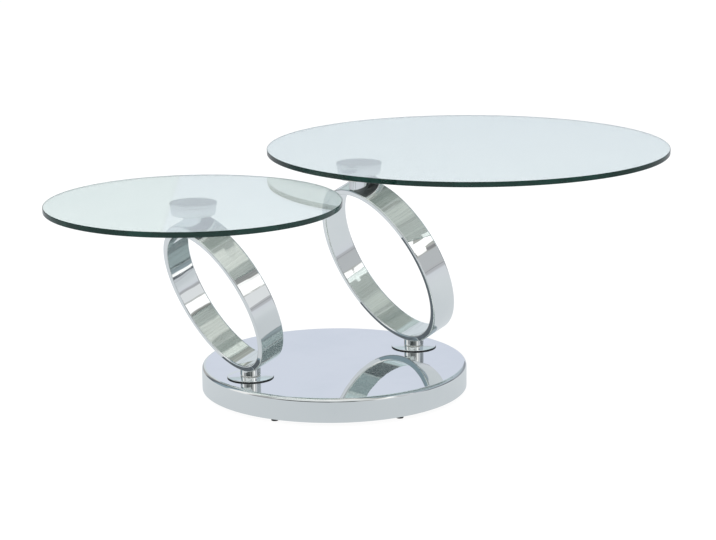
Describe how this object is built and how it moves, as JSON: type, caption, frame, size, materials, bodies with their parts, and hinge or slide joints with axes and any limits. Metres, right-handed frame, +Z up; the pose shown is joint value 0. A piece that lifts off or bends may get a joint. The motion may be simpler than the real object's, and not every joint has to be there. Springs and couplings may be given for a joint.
{
  "type": "swivel coffee table",
  "caption": "Coffee table with round glass tops at different heights, each turning on a leaning polished steel ring that swings on a round base.",
  "frame": {"origin": "centre of the round base, on the floor", "axes": "+Z up; +X from the small tier's spindle to the large tier's spindle; both rings lean towards -X"},
  "size_m": [1.31, 0.7999, 0.4399],
  "materials": {
    "mirror_steel": "mirror-polished stainless steel",
    "satin_steel": "fine satin turned steel",
    "zinc_steel": "bright zinc-plated steel",
    "clear_glass": "clear toughened float glass with a green edge, ground and polished",
    "core_board": "bare medium-density fibreboard",
    "ballast_steel": "black-painted steel plate",
    "foot_plastic": "black moulded plastic",
    "bearing_plastic": "natural nylon",
    "clear_adhesive": "cured clear adhesive"
  },
  "bodies": {
    "base": {"base_shell": "mirror_steel", "base_core": "core_board", "ballast_plate": "ballast_steel", "ballast_screws": "zinc_steel", "foot_pads": "foot_plastic", "foot_studs": "zinc_steel", "small_flange": "mirror_steel", "small_stop_pin": "zinc_steel", "small_spindle_bush": "bearing_plastic", "small_thrust_washer": "bearing_plastic", "large_flange": "mirror_steel", "large_stop_pin": "zinc_steel", "large_spindle_bush": "bearing_plastic", "large_thrust_washer": "bearing_plastic"},
    "small_ring": {"small_ring": "mirror_steel", "small_foot_post": "mirror_steel", "small_neck": "mirror_steel", "small_hub_cup": "satin_steel", "small_spindle": "zinc_steel", "small_lower_washer": "zinc_steel", "small_disc_spring": "zinc_steel", "small_lock_nut": "zinc_steel", "small_set_screw": "zinc_steel", "small_hub_bush": "bearing_plastic", "small_slip_ring": "bearing_plastic"},
    "large_ring": {"large_ring": "mirror_steel", "large_foot_post": "mirror_steel", "large_neck": "mirror_steel", "large_hub_cup": "satin_steel", "large_spindle": "zinc_steel", "large_lower_washer": "zinc_steel", "large_disc_spring": "zinc_steel", "large_lock_nut": "zinc_steel", "large_set_screw": "zinc_steel", "large_hub_bush": "bearing_plastic", "large_slip_ring": "bearing_plastic"},
    "small_top": {"small_mount_disc": "satin_steel", "small_bond_film": "clear_adhesive", "small_glass_top": "clear_glass"},
    "large_top": {"large_mount_disc": "satin_steel", "large_bond_film": "clear_adhesive", "large_glass_top": "clear_glass"}
  },
  "joints": [
    {"name": "small_ring_swivel", "type": "hinge", "parent": "base", "child": "small_ring", "pos_m": [-0.188, 0, 0.0602], "axis": [0, 0, 1], "range_deg": [-60, 60]},
    {"name": "large_ring_swivel", "type": "hinge", "parent": "base", "child": "large_ring", "pos_m": [0.188, 0, 0.0602], "axis": [0, 0, 1], "range_deg": [-60, 60]},
    {"name": "small_top_swivel", "type": "hinge", "parent": "small_ring", "child": "small_top", "pos_m": [-0.30038, 0, 0.38915], "axis": [0, 0, 1], "continuous": true},
    {"name": "large_top_swivel", "type": "hinge", "parent": "large_ring", "child": "large_top", "pos_m": [0.06138, 0, 0.42439], "axis": [0, 0, 1], "continuous": true}
  ]
}
